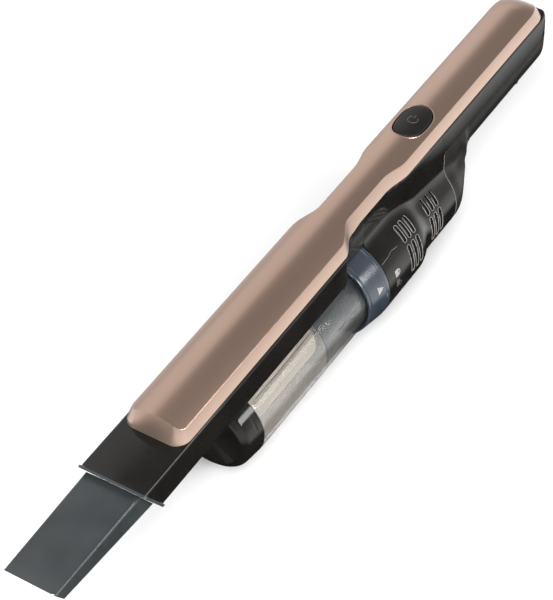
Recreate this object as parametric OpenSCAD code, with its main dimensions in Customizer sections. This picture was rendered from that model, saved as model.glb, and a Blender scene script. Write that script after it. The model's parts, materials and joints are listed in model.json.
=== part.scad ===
// Slim cordless handheld vacuum with a clear bin, a fold-down bin cap, a lock ring,
// a slanted nozzle and a pull-off crevice tool.
// X runs from the nozzle (-) to the handle (+), Z is up, and the origin is the middle of the base.

/* [Body] */
// Length of the body, from the nozzle's top lip to the rear end
body_len = 490; // [485:1:495]
// Radius of the motor housing
housing_r = 33; // [32.8:0.1:33.4]
// Radius of the rear motor cover
rear_r = 29.2; // [29:0.1:29.6]
// Wall of the moulded shells
wall = 2; // [1.8:0.1:2.2]

/* [Top cover] */
// Height of the crown above the motor axis
crown_z = 66.5; // [66:0.5:67]
// Radius of the crown across the body
crown_r = 32; // [31:0.5:36]
// Half width between the creases over the bin
front_w = 17.3; // [16.8:0.1:17.6]
// Half width between the creases at the waist
waist_w = 10; // [9.8:0.1:10.5]
// Half width between the creases on the handle
handle_w = 13.6; // [13.4:0.1:14]
// Sideways flare of the bevelled strip
flare = 2.7; // [2.4:0.1:2.9]
// Length of the bevel at the front edge
bevel = 4.3; // [4:0.1:5]
// Front edge of the cover
cover_x = 36; // [34:1:38]

/* [Nozzle and duct] */
// Width of the nozzle and duct
duct_w = 42; // [41.5:0.1:42.5]
// Top face of the duct above the motor axis
duct_top = 53; // [52.8:0.1:53.2]
// Bottom face of the duct above the motor axis
duct_bottom = 30; // [29.8:0.1:30.2]
// Slant of the nozzle's mouth
mouth_slant = 35; // [33:1:36]

/* [Crevice tool] */
// Reach of the tool in front of the nozzle
tool_reach = 76; // [74:1:78]
// Width of the tool at its flange
tool_w = 35.8; // [35.4:0.1:36.2]
// Width of the tool at its tip
tip_w = 33; // [32:0.5:34]
// Height of the tool at its tip
tip_h = 10.6; // [10:0.1:12]

/* [Bin] */
// Outside radius of the bin at its front
bin_r = 27.8; // [27.6:0.1:27.9]
// Outside radius of the bin at its rear
bin_rear_r = 28.4; // [28.2:0.1:28.5]
// Front end of the bin shell
bin_x = 109; // [108:0.5:110]
// Front face of the bin cap
cap_x = 92; // [91:0.5:93]
// Radius of the filter sleeve
sleeve_r = 16; // [15.5:0.1:16.5]

/* [Power button] */
// Length of the power button
button_len = 32; // [30:1:33]
// Width of the power button
button_w = 20; // [19:0.5:21]
// Travel of the power button
button_travel = 1.8; // [1.2:0.1:2]

/* [Hidden] */
$fn = 96;
fit = 0.3;           // gap between curved faces on different bodies
seam = 0.15;         // gap between shells of one body
ring_x = 227;        // front edge of the lock ring
motor_x = 247.4;     // front edge of the motor housing
dome_end = 364;      // rear end of the round motor cover
dome_start = 344;    // where it starts to round off
part_z = 40;         // parting line of the handle
ledge_z = 55;        // top of the black body under the cover
handle_cz = 32;      // centre height of the round underside of the handle
handle_r = 19;       // radius of that underside
port_x0 = 122;       // opening between duct and bin
port_x1 = 146;
port_hw = 8;         // half width of that opening
floor_z = 35.5;      // inside floor of the duct
button_x = 329;      // centre of the power button
flap_x = 50;         // inlet flap's pin
flap_z = 49;
cap_pin_x = 109;     // bin cap's hinge pin
cap_pin_z = -25.9;
pin_r = 1;           // radius of both small pins
cell_r = 9.2;
cell_len = 65;
cell_x = 376;        // front of the two stacked cells
front_cell_x = 306;  // front of the single cell over the motor
jack_z = 34;         // charging jack
jack_r = 2.8;
jack_depth = 9.5;
mid_x = (body_len - tool_reach) / 2;
slant_run = (duct_top - duct_bottom) * tan(mouth_slant);

// ---- helpers -----------------------------------------------------------------------------

function smooth(t) = t <= 0 ? 0 : t >= 1 ? 1 : t * t * (3 - 2 * t);

// Half width of the crease at x: wide over the bin, narrow at the waist, medium on the handle
function crease_w(x) = front_w - (front_w - waist_w) * smooth((x - 212) / 20)
    + (handle_w - waist_w) * smooth((x - 273) / 23);

// Height of the cover's lower edge at x
function edge_z(x) = duct_top + seam + (ledge_z - duct_top) * smooth((x - 232) / 12);

module place() translate([-mid_x, 0, housing_r]) children();
// A section in Y and Z, carried from x0 to x1
module along_x(x0, x1) translate([x0, 0, 0]) rotate([90, 0, 90]) linear_extrude(x1 - x0) children();
// A side view in X and Z, w wide and centred on the middle plane
module across(w) rotate([90, 0, 0]) linear_extrude(w, center = true) children();
// A plan in X and Y, from z0 up to z1
module upright(z0, z1) translate([0, 0, z0]) linear_extrude(z1 - z0) children();
// A profile in (x, radius), turned about the X axis
module turned(angle = 360) rotate([0, 90, 0]) rotate_extrude(angle = angle) mirror([1, -1]) children();
module tube_x(x0, x1, r) translate([x0, 0, 0]) rotate([0, 90, 0]) cylinder(h = x1 - x0, r = r);
module ring_of(x0, x1, r, r_in) difference() {
    tube_x(x0, x1, r);
    tube_x(x0 - 1, x1 + 1, r_in);
}
module pin_y(x, z, len, r) translate([x, 0, z]) rotate([90, 0, 0]) cylinder(h = len, r = r, center = true);
module round_box(w, h, r) {
    square([w, h - 2 * r], center = true);
    square([w - 2 * r, h], center = true);
    for (sy = [-1, 1], sz = [-1, 1]) translate([sy * (w / 2 - r), sz * (h / 2 - r)]) circle(r = r, $fn = 32);
}
// A pill-shaped plan centred on the power button
module pill(len, w) hull() for (s = [-1, 1])
    translate([button_x + s * (len - w) / 2, 0]) circle(d = w, $fn = 64);

// ---- top cover ---------------------------------------------------------------------------

corner = 5.5;        // rounding of the cover's front corners, in plan
tail_len = 14;       // rounding of its rear end, along X
tail_w = 11;         // and across
tail_bevel = 11.5;   // how far the rear end slopes back from the crown to the edge
edge_len = 15;       // rounding of the lower edge at the rear, along X
cover_end = body_len - 2.5;
crown_steps = 10;    // facets across the crown
crown_cz = crown_z - crown_r;

// One row of the cover's skin, set in by t: [x of crease, its half width, x of lower edge, its half width]
function front_row(p, t) = let (q = max(p, 5)) [
    cover_x + bevel + t + (corner - t) * (1 - cos(p)),
    front_w - 0.8 * t - (corner - t) * (1 - sin(p)),
    cover_x + t + (corner + bevel - t) * (1 - cos(q)),
    front_w + flare - t - (corner + flare - t) * (1 - sin(q))];
function tail_row(p, t) = let (q = max(p, 5)) [
    cover_end - tail_bevel - t - (tail_len - t) * (1 - cos(p)),
    handle_w - 0.8 * t - (tail_w - t) * (1 - sin(p)),
    cover_end - t - (edge_len - t) * (1 - cos(q)),
    handle_w + flare - t - (tail_w + flare - t) * (1 - sin(q))];
skin_x = concat([60, 110, 160, 208], [for (k = [0:8]) 212 + k * 2.5], [235, 238, 241, 244, 254, 264],
    [for (k = [0:8]) 273 + k * 2.9], [320, 360, 400, 440]);
function skin_rows(t) = concat([for (p = [0:15:90]) front_row(p, t)],
    [for (x = skin_x) [x, crease_w(x) - 0.8 * t, x, crease_w(x) + flare - t]],
    [for (p = [90:-10:0]) tail_row(p, t)]);
function skin_end(x, half) = concat([[x, -half, edge_z(x)]],
    [for (j = [0:crown_steps]) [x, 0.95 * half * (2 * j / crown_steps - 1), edge_z(x)]],
    [[x, half, edge_z(x)]]);
// The skin's rows, set in by t, with both ends turned down
function skin_points(t) = concat(skin_end(cover_x + t, front_w - corner),
    [for (r = skin_rows(t)) each concat([[r[2], -r[3], edge_z(r[2])]],
        [for (j = [0:crown_steps]) let (y = r[1] * (2 * j / crown_steps - 1))
            [r[0], y, crown_cz + sqrt((crown_r - t) ^ 2 - y ^ 2)]],
        [[r[2], r[3], edge_z(r[2])]])],
    skin_end(cover_end - t, handle_w - tail_w));
module skin_shell(t) {
    cols = crown_steps + 3;
    last = len(skin_rows(t)) + 1;
    inner = cols * (last + 1);
    function at(i, j) = i * cols + j;
    quads = concat(
        [for (i = [0:last - 1], j = [0:cols - 2]) [at(i, j), at(i, j + 1), at(i + 1, j + 1), at(i + 1, j)]],
        [for (i = [0:last - 1], j = [0:cols - 2])
            [at(i, j) + inner, at(i + 1, j) + inner, at(i + 1, j + 1) + inner, at(i, j + 1) + inner]],
        [for (i = [0:last - 1]) [at(i, 0), at(i + 1, 0), at(i + 1, 0) + inner, at(i, 0) + inner]],
        [for (i = [0:last - 1], j = cols - 1)
            [at(i + 1, j), at(i, j), at(i, j) + inner, at(i + 1, j) + inner]],
        [for (j = [0:cols - 2]) [at(0, j + 1), at(0, j), at(0, j) + inner, at(0, j + 1) + inner]],
        [for (j = [0:cols - 2])
            [at(last, j), at(last, j + 1), at(last, j + 1) + inner, at(last, j) + inner]]);
    polyhedron(concat(skin_points(0), skin_points(t)),
        [for (q = quads) each [[q[0], q[1], q[3]], [q[1], q[2], q[3]]]], convexity = 6);
}
module top_cover() color("#a98c7c") place() difference() {
    skin_shell(wall);
    upright(60, 80) pill(button_len + 0.8, button_w + 0.8);
}

// ---- nozzle and duct ---------------------------------------------------------------------

duct_end = 211.8;
module duct_section() translate([0, (duct_top + duct_bottom) / 2])
    round_box(duct_w, duct_top - duct_bottom, 2);
module port_box(z0, z1, grow) translate([port_x0 - grow, -port_hw - grow, z0])
    cube([port_x1 - port_x0 + 2 * grow, 2 * (port_hw + grow), z1 - z0]);
module nozzle_duct() color("#1c1b1a") place() difference() {
    intersection() {
        along_x(-1, duct_end) duct_section();
        across(duct_w + 2) polygon([[0, duct_top], [duct_end, duct_top], [duct_end, duct_bottom],
            [slant_run, duct_bottom]]);
    }
    along_x(-1, port_x1 + wall) translate([wall - duct_w / 2, floor_z])
        square([duct_w - 2 * wall, duct_top - wall - floor_z]);
    along_x(port_x1 + 2 * wall, duct_end + 1) translate([wall - duct_w / 2, floor_z])
        square([duct_w - 2 * wall, duct_top - wall - floor_z]);
    tube_x(-1, duct_end + 1, housing_r + fit);
    port_box(25, floor_z + 1, 0);
    pin_y(flap_x, flap_z, duct_w - 1, pin_r);
}
module duct_seal() color("#2c2c2e") place() difference() {
    intersection() {
        ring_of(port_x0 - 3, port_x1 + 3, housing_r + fit, housing_r - 0.6);
        port_box(25, 40, 3);
    }
    port_box(20, 40, 0);
}
module flap_pin() color("#b9bcbf") place() pin_y(flap_x, flap_z, duct_w - 1, pin_r);
module inlet_flap() color("#3a3c40") place() difference() {
    union() {
        pin_y(flap_x, flap_z, duct_w - 2 * wall - 0.6, 1.7);
        translate([flap_x - 0.8, -(duct_w - 2 * wall - 0.6) / 2, floor_z + 0.4])
            cube([1.6, duct_w - 2 * wall - 0.6, flap_z - floor_z - 0.4]);
    }
    pin_y(flap_x, flap_z, duct_w, pin_r + 0.06);
}

// ---- crevice tool ------------------------------------------------------------------------

tool_cz = 41;        // centre height of the tool at the mouth
tip_cz = 43;         // and at its tip
plug_depth = 12;     // how far its plug goes into the nozzle
tool_wall = 1.6;
flange_t = 2;
flange_lip = 1;
// How far the leaning mouth has moved back at height z, and a slab that leans with it,
// from x0 to x1 at the top edge
function lean(z) = (duct_top - z) * tan(mouth_slant);
module leaning(x0, x1, z_low, z_high) across(60) polygon([[x0 + lean(z_high), z_high],
    [x1 + lean(z_high), z_high], [x1 + lean(z_low), z_low], [x0 + lean(z_low), z_low]]);
module tool_taper(inset) hull() {
    along_x(-tool_reach - (inset > 0 ? 1 : 0), -tool_reach + 0.1) translate([0, tip_cz])
        round_box(tip_w - 2 * inset, tip_h - 2 * inset, 1.2);
    along_x(16, 17) translate([0, tool_cz]) round_box(tool_w - 2 * inset, 20.2 - 2 * inset, 2.4);
}
module plug_section(inset) translate([0, (floor_z + duct_top - wall) / 2])
    round_box(duct_w - 2 * wall - 0.5 - 2 * inset, duct_top - wall - floor_z - 0.5 - 2 * inset, 1.5);
module crevice_tool() color("#33383a") place() difference() {
    union() {
        intersection() {
            tool_taper(0);
            across(60) polygon([[-tool_reach, 60], [lean(60) - 1, 60], [lean(28) - 1, 28],
                [-tool_reach + lean(28) - lean(tip_cz + tip_h / 2), 28], [-tool_reach, tip_cz + tip_h / 2]]);
        }
        intersection() {
            leaning(-flange_t - seam, -seam, duct_bottom - 0.3, duct_top + flange_lip);
            along_x(-10, 30) translate([0, (duct_top + duct_bottom) / 2])
                round_box(duct_w + 2 * flange_lip, duct_top - duct_bottom + 4, 3);
        }
        intersection() {
            leaning(-1, plug_depth, duct_bottom, duct_top);
            along_x(-10, 40) plug_section(0);
        }
    }
    tool_taper(tool_wall);
    intersection() {
        leaning(-1, plug_depth + 1, duct_bottom, duct_top);
        along_x(-10, 60) plug_section(tool_wall);
    }
}

// ---- bin ---------------------------------------------------------------------------------

bin_wall = 1.8;
bin_end = 246.8;     // rear face of the bin shell
lip_r = 30;          // lip that holds the lock ring on the bin
lip_x = 244.2;
knuckle_r = 1.9;
cap_rim_x = bin_x - 0.2;
module bin_solid(inset) turned() polygon([[bin_x - inset, 0], [bin_x - inset, bin_r - inset],
    [ring_x, bin_rear_r - inset], [bin_end + inset, bin_rear_r - inset], [bin_end + inset, 0]]);
knuckle_y = 8.1;     // middle of the bin's two knuckles
module bin_shell() color([0.55, 0.6, 0.65, 0.35]) place() difference() {
    union() {
        difference() {
            union() {
                bin_solid(0);
                tube_x(lip_x, bin_end, lip_r);
                intersection() {
                    port_box(20, 40, 2.4);
                    tube_x(port_x0 - 5, port_x1 + 5, housing_r - 0.8);
                }
            }
            bin_solid(bin_wall);
            translate([bin_x - 1, -10.6, -30]) cube([3.6, 21.2, 6.4]);
        }
        for (s = [-1, 1]) translate([0, s * knuckle_y, 0]) {
            pin_y(cap_pin_x, cap_pin_z, 4, knuckle_r);
            translate([cap_pin_x, -2, -27.4]) cube([bin_x + 4.4 - cap_pin_x, 4, 2.6]);
        }
    }
    port_box(15, 40, 0);
    pin_y(cap_pin_x, cap_pin_z, 24, pin_r);
}
module cap_pin() color("#b9bcbf") place() pin_y(cap_pin_x, cap_pin_z, 20.2, pin_r);
module bin_cap() color("#161616") place() difference() {
    union() {
        difference() {
            turned() polygon([[cap_x, 0], [cap_x, bin_r - 6], [cap_x + 3.5, bin_r - 1.5],
                [cap_rim_x, bin_r - 0.1], [cap_rim_x, 0]]);
            turned() polygon([[cap_x + wall, 0], [cap_x + wall, bin_r - 6], [cap_x + wall + 2, bin_r - 3.6],
                [cap_rim_x + 1, bin_r - 2.1], [cap_rim_x + 1, 0]]);
            for (s = [-1, 1]) translate([cap_pin_x - 3, s * knuckle_y - 2.3, -30]) cube([10, 4.6, 6.4]);
        }
        pin_y(cap_pin_x, cap_pin_z, 11.6, knuckle_r);
        translate([cap_pin_x - 3.2, -5.8, -27.4]) cube([3.2, 11.6, 3]);
        translate([cap_rim_x - 9, -4, bin_r - 3.8]) cube([12, 8, 1.4]);
    }
    pin_y(cap_pin_x, cap_pin_z, 24, pin_r + 0.06);
}
module cap_seal() color("#4a4d50") place() difference() {
    ring_of(cap_rim_x - 3, cap_rim_x - 0.1, bin_r - 2.8, bin_r - 4.4);
    translate([bin_x - 20, -4.4, 15]) cube([40, 8.8, 20]);
    translate([bin_x - 20, -10.8, -35]) cube([40, 21.6, 15]);
}

// ---- filter ------------------------------------------------------------------------------

sleeve_x0 = 114;
sleeve_x1 = 186;
pleats = 18;
module filter_mesh() color("#e8e0cb") place() ring_of(sleeve_x0, sleeve_x1, sleeve_r, sleeve_r - 0.8);
module filter_pleats() color("#f1ece0") place() along_x(sleeve_x0 + 0.2, sleeve_x1 - 0.2) difference() {
    polygon([for (k = [0:2 * pleats - 1]) let (r = k % 2 == 0 ? sleeve_r - 3 : sleeve_r - 7)
        [r * cos(k * 180 / pleats), r * sin(k * 180 / pleats)]]);
    polygon([for (k = [0:2 * pleats - 1]) let (r = k % 2 == 0 ? sleeve_r - 3.8 : sleeve_r - 7.8)
        [r * cos(k * 180 / pleats), r * sin(k * 180 / pleats)]]);
}
module filter_frame() color("#5d6a78") place() union() {
    tube_x(sleeve_x0 - 2.2, sleeve_x0 - 0.1, sleeve_r + 0.6);
    ring_of(sleeve_x1 + 0.1, sleeve_x1 + 7, sleeve_r + 7, sleeve_r - 2.6);
    ring_of(sleeve_x1 + 6.9, 241, sleeve_r + 2, sleeve_r + 0.4);
    ring_of(240, 243.8, bin_rear_r - bin_wall - 0.1, sleeve_r + 0.4);
    for (k = [0:3]) rotate([k * 90 + 45, 0, 0]) translate([0, 0, sleeve_r - 1.8])
        tube_x(sleeve_x0 - 1, sleeve_x1 + 2, 0.7);
}
module bin_seal() color("#2f3032") place() ring_of(244, 246.7, bin_rear_r - bin_wall - 0.2, sleeve_r + 2);
module lock_ring() color("#46566c") place() turned() polygon([[ring_x, bin_rear_r + fit],
    [ring_x, bin_rear_r + 1.2], [ring_x + 2, bin_rear_r + 1.9], [motor_x - 3.4, housing_r - 0.2],
    [motor_x - 0.3, housing_r - 0.1], [motor_x - 0.3, lip_r + fit], [lip_x - fit, lip_r + fit],
    [lip_x - fit, bin_rear_r + fit]]);

// ---- motor housing -----------------------------------------------------------------------

seam_x = 340;        // seam in front of the rear shell and the upper handle
vent_w = 3;
vent_pitch = 5.4;
// Half width of the neck that carries the cover
function neck_w(x) = crease_w(x) + flare - 0.3 + 2.4 * smooth((x - 295) / 45);
neck_xs = concat([for (k = [0:8]) 212 + k * 2.5], [242, 252, 263], [for (k = [0:24]) 273 + k * 3]);
module neck_plan(x0, x1, inset) {
    xs = concat([x0], [for (x = neck_xs) if (x > x0 && x < x1) x], [x1]);
    polygon(concat([for (x = xs) [x, neck_w(x) - inset]],
        [for (k = [len(xs) - 1:-1:0]) [xs[k], inset - neck_w(xs[k])]]));
}
module handle_section(inset) {
    translate([0, handle_cz]) circle(r = handle_r - inset);
    polygon([[-handle_r + inset, handle_cz], [handle_r - inset, handle_cz], [handle_r - 0.1 - inset, 43],
        [16 - inset, ledge_z - inset], [inset - 16, ledge_z - inset], [inset + 0.1 - handle_r, 43]]);
}
module neck(x0, x1, inset, z_low) intersection() {
    upright(z_low, ledge_z - inset) neck_plan(x0, x1, inset);
    along_x(x0, x1) polygon([[-30, 0], [30, 0], [handle_r - 0.1, 43], [16, ledge_z], [-16, ledge_z],
        [0.1 - handle_r, 43]]);
    across(80) polygon(concat([[x0, z_low], [x0, edge_z(x0) - seam]],
        [for (x = [232:2:244]) if (x > x0 && x < x1) [x, edge_z(x) - seam]],
        [[x1, ledge_z + 1], [x1, z_low]]));
}
module vent_slot(x, r, a0, a1) rotate([180 + a0, 0, 0]) turned(a1 - a0)
    polygon([[x, r - 4], [x + vent_w, r - 4], [x + vent_w, r + 1], [x, r + 1]]);
// Each group is [first slot, radius, upper arc, lower arc], with the arcs in degrees from the top
vent_arcs = [[274.5, housing_r, [33, 55], [59, 94]], [308, rear_r, [36, 60], [64, 98]]];
module vents() for (g = vent_arcs, k = [0:2], a = [g[2], g[3]]) {
    vent_slot(g[0] + k * vent_pitch, g[1], a[0], a[1]);
    vent_slot(g[0] + k * vent_pitch, g[1], -a[1], -a[0]);
}
module motor_housing() color("#191918") place() difference() {
    union() {
        turned() polygon([[motor_x, 0], [motor_x, housing_r - 0.4], [motor_x + 1, housing_r],
            [290, housing_r], [306, rear_r], [seam_x, rear_r], [seam_x, 0]]);
        neck(duct_end + 0.2, seam_x, 0, 12);
    }
    turned() polygon([[motor_x + wall, 0], [motor_x + wall, housing_r - wall], [290, housing_r - wall],
        [306, rear_r - wall], [seam_x + 1, rear_r - wall], [seam_x + 1, 0]]);
    neck(motor_x + wall + 2, seam_x + 1, wall, 14);
    neck(duct_end - 1, motor_x + wall + 3, wall, housing_r + 2.5);
    tube_x(duct_end - 5, motor_x - 0.1, housing_r + fit);
    tube_x(motor_x - 5, motor_x + 5, 17);
    vents();
}
// Profile of the round rear end, from the seam to its tip
function dome(inset) = concat([[seam_x + seam, rear_r - inset]], [for (a = [0:10:90])
    [dome_end - inset - (dome_end - dome_start) * (1 - sin(a)), (rear_r - inset) * cos(a)]]);

// ---- handle ------------------------------------------------------------------------------

shell_x = seam_x + seam;
tail_r = 12;         // rounding of the handle's rear end, in plan
tail_low = 17;       // rounding under it
end_lean = 2;        // how far the end leans forward, from end_z up to the cover
end_z = 48;
module handle_form(inset) intersection() {
    along_x(inset > 0 ? shell_x - 1 : shell_x, body_len - inset) handle_section(inset);
    upright(0, 80) polygon(concat([[shell_x - 2, handle_r], [shell_x - 2, -handle_r]],
        [for (a = [-90:10:90]) [body_len - inset - tail_r * (1 - cos(a)),
            (sign(a) * (handle_r - tail_r) + tail_r * sin(a)) * (handle_r - inset) / handle_r]]));
    across(60) polygon(concat([[shell_x - 2, 80], [shell_x - 2, 0]],
        [for (a = [0:10:90]) [body_len - inset - tail_low * (1 - sin(a)),
            handle_cz - handle_r + inset + tail_low * (1 - cos(a))]],
        [[body_len - inset, end_z], [body_len - inset - end_lean, ledge_z],
            [body_len - inset - end_lean, 80]]));
}
module screw_spots() for (s = [-1, 1]) translate([452, s * 11.4, 0]) children();
module rear_shell() color("#262523") place() difference() {
    union() {
        difference() {
            union() {
                turned() polygon(concat([[shell_x, 0]], dome(0)));
                handle_form(0);
            }
            turned() polygon(concat([[seam_x - 1, 0], [seam_x - 1, rear_r - wall]], dome(wall)));
            handle_form(wall);
        }
        intersection() {
            screw_spots() cylinder(h = 80, r = 3.2);
            handle_form(0.1);
        }
    }
    translate([300, -40, part_z - seam / 2]) cube([300, 80, 60]);
    screw_spots() cylinder(h = 20, r = 2.7);
    screw_spots() cylinder(h = 60, r = 1.3);
    translate([0, 0, jack_z]) tube_x(455, body_len + 1, jack_r + 1.7);
}
module handle_upper() color("#171716") place() difference() {
    union() {
        difference() {
            handle_form(0);
            handle_form(wall);
        }
        intersection() {
            screw_spots() cylinder(h = 80, r = 3.2);
            handle_form(0.1);
        }
    }
    translate([300, -40, -20]) cube([300, 80, 60 + seam / 2]);
    screw_spots() cylinder(h = 47, r = 1.3);
    translate([0, 0, 46]) tube_x(455, body_len + 1, 1.3);
}
module case_screws() color("#8d9093") place() screw_spots() union() {
    translate([0, 0, 18.2]) cylinder(h = 1.8, r = 2.6);
    translate([0, 0, 18.2]) cylinder(h = 28, r = 1.3);
}

// ---- inside ------------------------------------------------------------------------------

module charge_jack() color("#0f0f10") place() translate([0, 0, jack_z]) difference() {
    tube_x(body_len - jack_depth - 2, body_len - 0.2, jack_r + 1.7);
    tube_x(body_len - jack_depth - 0.2, body_len + 1, jack_r);
}
module charge_light() color("#d9efe2") place() translate([0, 0, 46])
    tube_x(body_len - 5, body_len - 0.6, 1.3);
module cell(x, z) translate([x, 0, z]) union() {
    rotate([0, 90, 0]) cylinder(h = cell_len - 1, r = cell_r);
    rotate([0, 90, 0]) cylinder(h = cell_len, r = 3);
}
stack_low = 24.9;
stack_high = 43.5;
front_cell_z = 43.4;
module battery_cells() color("#2f6fa8") place() union() {
    cell(cell_x, stack_low);
    cell(cell_x, stack_high);
    cell(front_cell_x, front_cell_z);
}
module cell_holder() color("#d7d3c7") place() difference() {
    union() {
        for (x = [cell_x - 2, cell_x + cell_len + 0.4]) translate([x, -9, 17.5]) cube([1.6, 18, 33.5]);
        for (s = [-1, 1]) translate([cell_x - 2, s * 11 - 0.6, 28]) cube([cell_len + 4, 1.2, 12]);
        for (x = [cell_x - 2, cell_x + cell_len + 0.4]) translate([x, -11, 30]) cube([1.6, 22, 8]);
    }
    for (z = [stack_low, stack_high]) translate([0, 0, z]) tube_x(cell_x - 3, cell_x + cell_len + 3, 3.4);
}
module cell_tabs() color("#c9ccd0") place() for (x = [cell_x - 0.4, cell_x + cell_len + 0.05])
    translate([x, -2, stack_low]) cube([0.3, 4, stack_high - stack_low]);
module control_board() color("#2f6b46") place() translate([302, -8.5, ledge_z + 0.3]) cube([68, 17, 1.4]);
module power_switch() color("#202224") place() translate([button_x - 3, -3, ledge_z + 1.7]) union() {
    cube([6, 6, 1]);
    translate([3, 3, 0]) cylinder(h = 1.3, r = 1.6);
}
// Underside of the button's flange, clear of the switch at the end of the travel
cap_low = ledge_z + 3.2 + button_travel;
module power_button() color("#121212") place() union() {
    intersection() {
        upright(cap_low, 80) pill(button_len, button_w);
        translate([0, 0, crown_cz]) tube_x(button_x - 30, button_x + 30, crown_r + 0.8);
    }
    upright(cap_low, cap_low + 1.2) pill(button_len + 2.4, button_w + 2.4);
}
spring_turns = 4;
spring_r = 2.2;
spring_wire = 0.35;
spring_low = ledge_z + 1.75;
module button_spring() color("#b9bcbf") place() translate([button_x + 9, 0, 0]) {
    steps = spring_turns * 16;
    rise = (cap_low - 0.05 - spring_low - 2 * spring_wire) / steps;
    polyhedron([for (i = [0:steps], k = [0:5]) let (r = spring_r + spring_wire * cos(60 * k))
            [r * cos(i * 22.5), r * sin(i * 22.5), spring_low + spring_wire * (1 + sin(60 * k)) + rise * i]],
        concat([[5, 4, 3, 2, 1, 0]], [for (i = [0:steps - 1], k = [0:5])
            [i * 6 + k, i * 6 + (k + 1) % 6, (i + 1) * 6 + (k + 1) % 6, (i + 1) * 6 + k]],
            [[for (k = [0:5]) steps * 6 + k]]));
}

// ---- motor -------------------------------------------------------------------------------

can_x0 = 264;
can_x1 = 318;
can_r = 18;
shaft_r = 2;
module fan_shroud() color("#4b4f52") place() difference() {
    tube_x(motor_x + wall + 0.2, 263, housing_r - wall - 0.3);
    tube_x(motor_x, 261, 26);
    tube_x(motor_x, 270, 7);
    for (k = [0:7]) rotate([k * 45, 0, 0]) translate([0, 0, 22.6]) tube_x(255, 270, 3.2);
}
module motor_can() color("#9a9da0") place() difference() {
    tube_x(can_x0, can_x1, can_r);
    tube_x(can_x0 - 1, can_x1 - 1.5, can_r - 1.5);
    tube_x(can_x1 - 5, can_x1 + 1, 5.2);
}
module motor_magnets() color("#3b3b3d") place() for (s = [0, 180]) rotate([20 + s, 0, 0]) turned(140)
    polygon([[can_x0 + 6, 13.4], [can_x1 - 10, 13.4], [can_x1 - 10, 16.4], [can_x0 + 6, 16.4]]);
module motor_end_bell() color("#26282a") place() difference() {
    tube_x(can_x0 - 0.8, can_x0 + 3, can_r - 1.6);
    tube_x(can_x0 - 2, can_x0 + 5, 5.2);
}
module motor_bearings() color("#c9ccd0") place() union() {
    ring_of(can_x0 - 0.6, can_x0 + 3, 5.2, shaft_r + 0.05);
    ring_of(can_x1 - 4, can_x1, 5.2, shaft_r + 0.05);
}
module motor_mount() color("#3f4245") place() difference() {
    ring_of(296, 302, 27.8, can_r);
    for (k = [0:5]) rotate([k * 60, 0, 0]) translate([0, 0, 24]) tube_x(290, 310, 5);
}
module exhaust_foam() color("#5a5c5e") place() union() {
    ring_of(267, 290, housing_r - wall - 0.1, housing_r - wall - 3.4);
    ring_of(308, 332, rear_r - wall - 0.1, rear_r - wall - 3.4);
}
module motor_shaft() color("#d5d8da") place() tube_x(250.5, can_x1 + 3, shaft_r);
module rotor_core() color("#9c6a3c") place() ring_of(can_x0 + 8, can_x1 - 12, 12, shaft_r);
module fan() color("#6f7376") place() difference() {
    union() {
        tube_x(259, 260.4, 24.5);
        tube_x(252, 260.4, 5);
        for (k = [0:8]) rotate([k * 40, 0, 0]) translate([255.6, 0, 14]) rotate([0, 0, 28])
            cube([8.4, 1.2, 20], center = true);
    }
    tube_x(250, 262, shaft_r);
    tube_x(240, 251.5, 30);
    tube_x(260.4, 275, 30);
    difference() {
        tube_x(240, 270, 40);
        tube_x(239, 271, 24.5);
    }
}
module fan_nut() color("#b9bcbf") place() difference() {
    translate([249.8, 0, 0]) rotate([0, 90, 0]) cylinder(h = 1.7, r = 3.6, $fn = 6);
    tube_x(245, 255, shaft_r);
}

// ---- parts shown -------------------------------------------------------------------------

top_cover();
nozzle_duct();
duct_seal();
motor_housing();
handle_upper();
rear_shell();
motor_can();
motor_magnets();
motor_end_bell();
motor_bearings();
fan_shroud();
motor_mount();
exhaust_foam();
battery_cells();
cell_holder();
cell_tabs();
control_board();
power_switch();
button_spring();
charge_jack();
charge_light();
case_screws();
flap_pin();
power_button();
crevice_tool();
bin_shell();
filter_frame();
filter_pleats();
filter_mesh();
bin_seal();
cap_pin();
lock_ring();
bin_cap();
cap_seal();
inlet_flap();
fan();
motor_shaft();
rotor_core();
fan_nut();
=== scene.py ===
"""Looks for a slim cordless handheld vacuum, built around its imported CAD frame."""
import json
import math
import bmesh
import bpy
import numpy as np
from mathutils import Matrix, Vector

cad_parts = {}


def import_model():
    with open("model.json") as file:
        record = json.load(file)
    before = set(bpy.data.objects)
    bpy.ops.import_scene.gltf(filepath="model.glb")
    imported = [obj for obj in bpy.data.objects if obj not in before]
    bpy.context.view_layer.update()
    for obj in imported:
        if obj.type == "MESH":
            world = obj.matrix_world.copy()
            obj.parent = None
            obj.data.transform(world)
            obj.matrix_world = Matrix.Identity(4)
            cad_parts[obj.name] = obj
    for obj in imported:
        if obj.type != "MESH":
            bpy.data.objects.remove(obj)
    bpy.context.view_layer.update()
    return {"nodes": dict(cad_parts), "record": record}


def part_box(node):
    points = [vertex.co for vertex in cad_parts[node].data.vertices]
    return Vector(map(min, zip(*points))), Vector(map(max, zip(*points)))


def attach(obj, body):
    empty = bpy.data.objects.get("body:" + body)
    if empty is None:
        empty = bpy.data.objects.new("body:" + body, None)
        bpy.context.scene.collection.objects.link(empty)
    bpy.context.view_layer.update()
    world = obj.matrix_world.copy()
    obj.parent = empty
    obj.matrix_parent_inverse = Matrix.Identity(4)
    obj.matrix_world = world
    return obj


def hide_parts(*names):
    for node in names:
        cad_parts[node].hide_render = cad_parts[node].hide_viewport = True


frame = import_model()

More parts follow.
